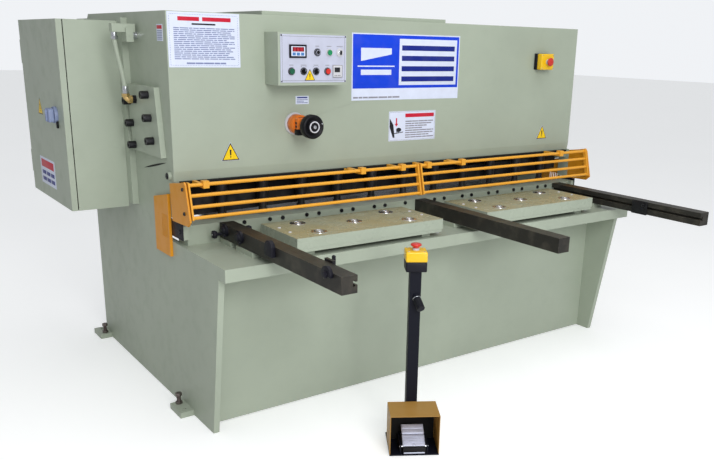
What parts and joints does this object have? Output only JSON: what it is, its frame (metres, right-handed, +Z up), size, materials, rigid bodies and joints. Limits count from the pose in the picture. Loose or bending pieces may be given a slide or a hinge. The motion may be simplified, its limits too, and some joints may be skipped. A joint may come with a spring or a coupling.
{
  "type": "hydraulic guillotine shear",
  "caption": "Hydraulic swing-beam sheet metal shear with finger guards, ball tables, front support arms, a control box, a side cabinet and a free-standing foot station.",
  "frame": {"origin": "on the floor, at the centre of the four anchor holes in the feet", "axes": "+X along the blades to the right as the operator sees them, +Y towards the back, +Z up; the operator stands on the -Y side"},
  "size_m": [3.027, 2.417, 1.857],
  "materials": {
    "body_paint": "satin pale grey-green enamel",
    "guard_yellow": "gloss yellow-orange enamel",
    "ochre": "satin ochre enamel",
    "black_paint": "satin black",
    "black_plastic": "matte black",
    "yellow_plastic": "gloss yellow",
    "red_plastic": "gloss red",
    "green_plastic": "gloss green",
    "pale_panel": "matte pale lavender white",
    "sign_white": "printed white",
    "steel": "ground steel",
    "dark_steel": "oiled dark steel",
    "zinc": "zinc plated",
    "aluminium": "ribbed casting",
    "brass": "machined brass"
  },
  "bodies": {
    "frame": {"arm_knobs": "black_plastic", "ball_tables": "body_paint", "bed_screws": "black_plastic", "blade_bed": "body_paint", "brass_elbow": "brass", "control_box": "body_paint", "control_face": "pale_panel", "cylinder_bolts": "black_plastic", "electrical_cabinet": "body_paint", "front_panel": "body_paint", "gauge_rails": "steel", "guard_brackets": "guard_yellow", "guard_end_plates": "guard_yellow", "hold_down_beam": "black_paint", "hold_down_cylinders": "black_plastic", "hydraulic_pipe": "body_paint", "hydraulic_power_pack": "body_paint", "indicator_housing": "black_plastic", "left_side_plate": "body_paint", "levelling_bolts": "zinc", "lower_apron": "body_paint", "lower_blade": "steel", "main_cylinders": "black_paint", "manifold_block": "body_paint", "middle_arm": "dark_steel", "panel_estop_box": "yellow_plastic", "rear_tie_beams": "body_paint", "right_arm": "dark_steel", "right_side_plate": "body_paint", "side_covers": "guard_yellow", "sign_plates": "sign_white", "squaring_arm": "dark_steel", "top_cover": "body_paint", "transfer_balls": "zinc", "work_table": "body_paint"},
    "beam": {"swing_beam": "black_paint", "upper_blade": "steel"},
    "rods": {"cylinder_rods": "steel"},
    "plungers": {"hold_down_plungers": "steel"},
    "left_guard": {"left_finger_guard": "guard_yellow"},
    "right_guard": {"right_finger_guard": "guard_yellow"},
    "gauge": {"back_gauge": "steel"},
    "screw": {"lead_screw": "steel"},
    "wheel": {"handwheel": "black_plastic"},
    "door": {"cabinet_door": "body_paint"},
    "isolator": {"isolator_knob": "black_plastic"},
    "start": {"start_button": "green_plastic"},
    "cycle": {"cycle_button": "green_plastic"},
    "stop": {"stop_button": "red_plastic"},
    "mode": {"mode_selector": "black_plastic"},
    "stroke": {"stroke_selector": "black_plastic"},
    "key": {"key_switch": "black_plastic"},
    "panel_estop": {"panel_estop_head": "red_plastic"},
    "station": {"station_guard": "ochre", "station_post": "black_paint", "station_estop_box": "yellow_plastic"},
    "station_estop": {"station_estop_head": "red_plastic"},
    "pedal": {"foot_pedal": "aluminium"},
    "flip": {"flip_stop": "black_plastic"},
    "slider": {"slot_stop": "black_plastic"}
  },
  "joints": [
    {"name": "beam_swing", "type": "hinge", "parent": "frame", "child": "beam", "pos_m": [0, 0.171, 0.951], "axis": [1, 0, 0], "range_deg": [0, 6.6], "stiffness_Nm_per_rad": 6000, "springref_deg": -42.97},
    {"name": "rod_slide", "type": "slide", "parent": "frame", "child": "rods", "axis": [0, -0.1736, -0.9848], "range_m": [0, 0.06]},
    {"name": "hold_down", "type": "slide", "parent": "frame", "child": "plungers", "axis": [0, 0, -1], "range_m": [0, 0.02], "stiffness_N_per_m": 20000, "springref_m": -0.02},
    {"name": "left_guard_hinge", "type": "hinge", "parent": "frame", "child": "left_guard", "pos_m": [-0.663, -0.725, 1.114], "axis": [-1, 0, 0], "range_deg": [0, 95]},
    {"name": "right_guard_hinge", "type": "hinge", "parent": "frame", "child": "right_guard", "pos_m": [0.641, -0.725, 1.114], "axis": [-1, 0, 0], "range_deg": [0, 95]},
    {"name": "gauge_slide", "type": "slide", "parent": "frame", "child": "gauge", "axis": [0, 1, 0], "range_m": [0, 0.55]},
    {"name": "lead_screw_turn", "type": "hinge", "parent": "frame", "child": "screw", "pos_m": [0, 0, 0.8], "axis": [0, 1, 0], "range_deg": [0, 9910]},
    {"name": "handwheel_turn", "type": "hinge", "parent": "frame", "child": "wheel", "pos_m": [-0.683, -0.75, 1.345], "axis": [0, -1, 0], "range_deg": [0, 9910]},
    {"name": "cabinet_door_hinge", "type": "hinge", "parent": "frame", "child": "door", "pos_m": [-1.604, 0.729, 1.35], "axis": [0, 0, -1], "range_deg": [0, 115]},
    {"name": "isolator_turn", "type": "hinge", "parent": "door", "child": "isolator", "pos_m": [-1.625, 0.108, 1.357], "axis": [-1, 0, 0], "range_deg": [0, 90]},
    {"name": "start_press", "type": "slide", "parent": "frame", "child": "start", "axis": [0, 1, 0], "range_m": [0, 0.004], "stiffness_N_per_m": 1500, "springref_m": -0.001},
    {"name": "cycle_press", "type": "slide", "parent": "frame", "child": "cycle", "axis": [0, 1, 0], "range_m": [0, 0.004], "stiffness_N_per_m": 1500, "springref_m": -0.001},
    {"name": "stop_press", "type": "slide", "parent": "frame", "child": "stop", "axis": [0, 1, 0], "range_m": [0, 0.004], "stiffness_N_per_m": 1500, "springref_m": -0.001},
    {"name": "mode_turn", "type": "hinge", "parent": "frame", "child": "mode", "pos_m": [-0.707, -0.72, 1.595], "axis": [0, -1, 0], "range_deg": [-45, 45]},
    {"name": "stroke_turn", "type": "hinge", "parent": "frame", "child": "stroke", "pos_m": [-0.641, -0.72, 1.595], "axis": [0, -1, 0], "range_deg": [-45, 45]},
    {"name": "key_turn", "type": "hinge", "parent": "frame", "child": "key", "pos_m": [-0.511, -0.72, 1.68], "axis": [0, -1, 0], "range_deg": [0, 90]},
    {"name": "panel_estop_press", "type": "slide", "parent": "frame", "child": "panel_estop", "axis": [0, 1, 0], "range_m": [0, 0.005], "stiffness_N_per_m": 1500, "springref_m": -0.001},
    {"name": "station_push", "type": "slide", "parent": "frame", "child": "station", "axis": [1, 0, 0], "range_m": [-0.35, 0.45]},
    {"name": "station_estop_press", "type": "slide", "parent": "station", "child": "station_estop", "axis": [0, 0, -1], "range_m": [0, 0.005], "stiffness_N_per_m": 1500, "springref_m": -0.003},
    {"name": "pedal_press", "type": "hinge", "parent": "station", "child": "pedal", "pos_m": [-0.64415, -1.54769, 0.032], "axis": [-0.8581, 0.5135, 0], "range_deg": [0, 12], "stiffness_Nm_per_rad": 6, "springref_deg": -20.05},
    {"name": "flip_stop_turn", "type": "hinge", "parent": "frame", "child": "flip", "pos_m": [-1.125, -1.597, 0.907], "axis": [1, 0, 0], "range_deg": [0, 180]},
    {"name": "slot_stop_slide", "type": "slide", "parent": "frame", "child": "slider", "axis": [0, 1, 0], "range_m": [-0.15, 0.6]}
  ],
  "couplings": [
    {"joint": "rod_slide", "follows": "beam_swing", "m_per_rad": 0.507},
    {"joint": "lead_screw_turn", "follows": "gauge_slide", "rad_per_m": 314.16},
    {"joint": "handwheel_turn", "follows": "gauge_slide", "rad_per_m": 314.16}
  ]
}
